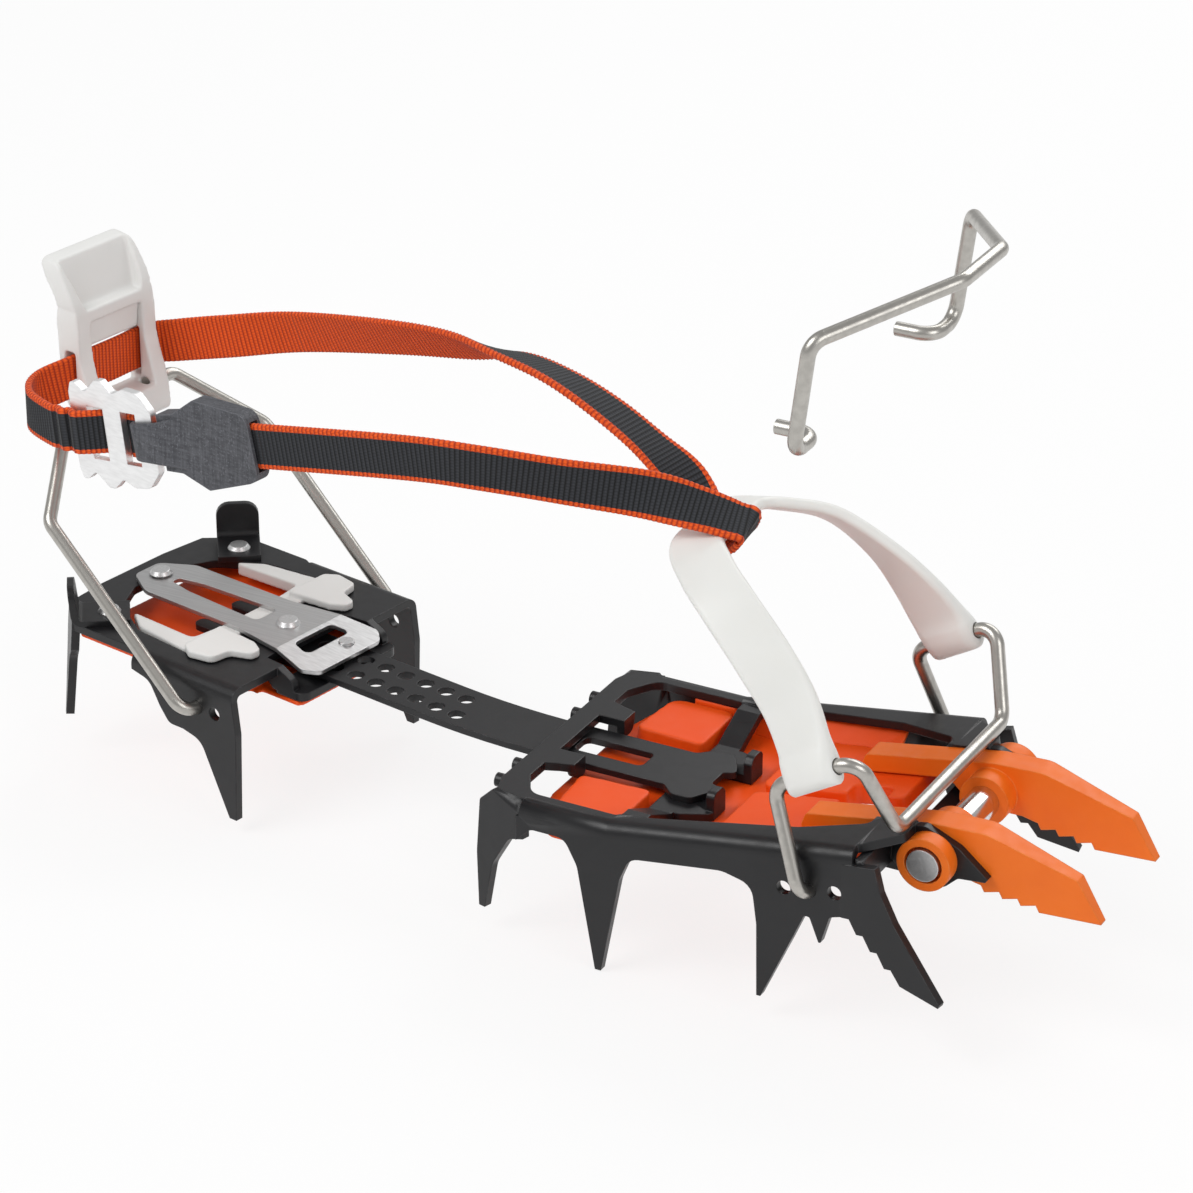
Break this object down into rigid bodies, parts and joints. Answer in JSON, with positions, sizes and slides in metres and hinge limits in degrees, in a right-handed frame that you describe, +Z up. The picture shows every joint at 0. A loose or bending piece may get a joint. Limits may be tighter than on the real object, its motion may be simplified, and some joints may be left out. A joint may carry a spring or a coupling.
{
  "type": "mountaineering crampon",
  "caption": "Step-in steel crampon for a right boot with bolted front points, sliding heel section, wire toe and heel bails, heel lever, ankle strap and spare toe bail.",
  "frame": {"origin": "on the sole plane, in the middle of the top face of the strip that crosses the bar at the back of the front section", "axes": "+X to the toe along the front section, +Y to the inner side of the right foot, +Z up from the sole plane"},
  "size_m": [0.3496, 0.1231, 0.2115],
  "materials": {
    "black_steel": "satin",
    "orange_steel": "satin",
    "steel": "brushed",
    "spring_steel": "satin",
    "orange_plastic": "matte",
    "black_plastic": "matte",
    "white_plastic": "satin",
    "grey_rubber": "matte",
    "webbing": "woven"
  },
  "bodies": {
    "front_section": {"front_plate": "black_steel", "front_antisnow": "orange_plastic", "antisnow_lugs": "black_plastic", "front_point_right": "orange_steel", "front_point_left": "orange_steel", "point_bolt": "steel", "point_nut": "steel", "point_sleeve": "steel", "point_rings": "orange_steel", "linking_bar": "black_steel", "strap_sides": "webbing"},
    "toe_bail": {"toe_wire": "steel", "toe_strap": "white_plastic", "strap_toe_loop": "webbing"},
    "heel_section": {"heel_plate": "black_steel", "heel_antisnow": "orange_plastic", "heel_stop_right": "black_steel", "heel_stop_left": "black_steel", "stop_rivets": "steel", "lock_rivet": "steel", "strap_rear": "webbing"},
    "length_lock": {"lock_spring": "spring_steel", "lock_slider": "white_plastic", "lock_stud": "steel"},
    "heel_bail": {"heel_wire": "steel", "strap_buckle": "spring_steel", "strap_tab": "grey_rubber", "strap_lever": "webbing"},
    "heel_lever": {"lever_body": "white_plastic", "lever_block": "white_plastic"},
    "spare_bail": {"spare_wire": "steel"}
  },
  "joints": [
    {"name": "toe_bail_swing", "type": "hinge", "parent": "front_section", "child": "toe_bail", "pos_m": [0.0958, 0, -0.00345], "axis": [0, 1, 0], "range_deg": [-40, 0], "deforming": ["strap_toe_loop"]},
    {"name": "heel_slide", "type": "slide", "parent": "front_section", "child": "heel_section", "axis": [0.9816, -0.1908, 0], "range_m": [-0.0231, 0.0231], "deforming": ["strap_sides"]},
    {"name": "lock_lift", "type": "hinge", "parent": "heel_section", "child": "length_lock", "pos_m": [-0.15354, 0.02557, 0.00115], "axis": [0.1908, 0.9816, 0], "range_deg": [-4.5, 0], "stiffness_Nm_per_rad": 3, "springref_deg": 1.15},
    {"name": "heel_bail_swing", "type": "hinge", "parent": "heel_section", "child": "heel_bail", "pos_m": [-0.102, 0.01555, -0.0095], "axis": [0.1908, 0.9816, 0], "range_deg": [0, 35], "deforming": ["strap_rear"]},
    {"name": "lever_swing", "type": "hinge", "parent": "heel_bail", "child": "heel_lever", "pos_m": [-0.16679, 0.02814, 0.0565], "axis": [0.1908, 0.9816, 0], "range_deg": [-75, 0], "deforming": ["strap_lever"]},
    {"name": "spare_lift", "type": "slide", "parent": "front_section", "child": "spare_bail", "axis": [0, 0, 1], "range_m": [0, 0.02]}
  ]
}
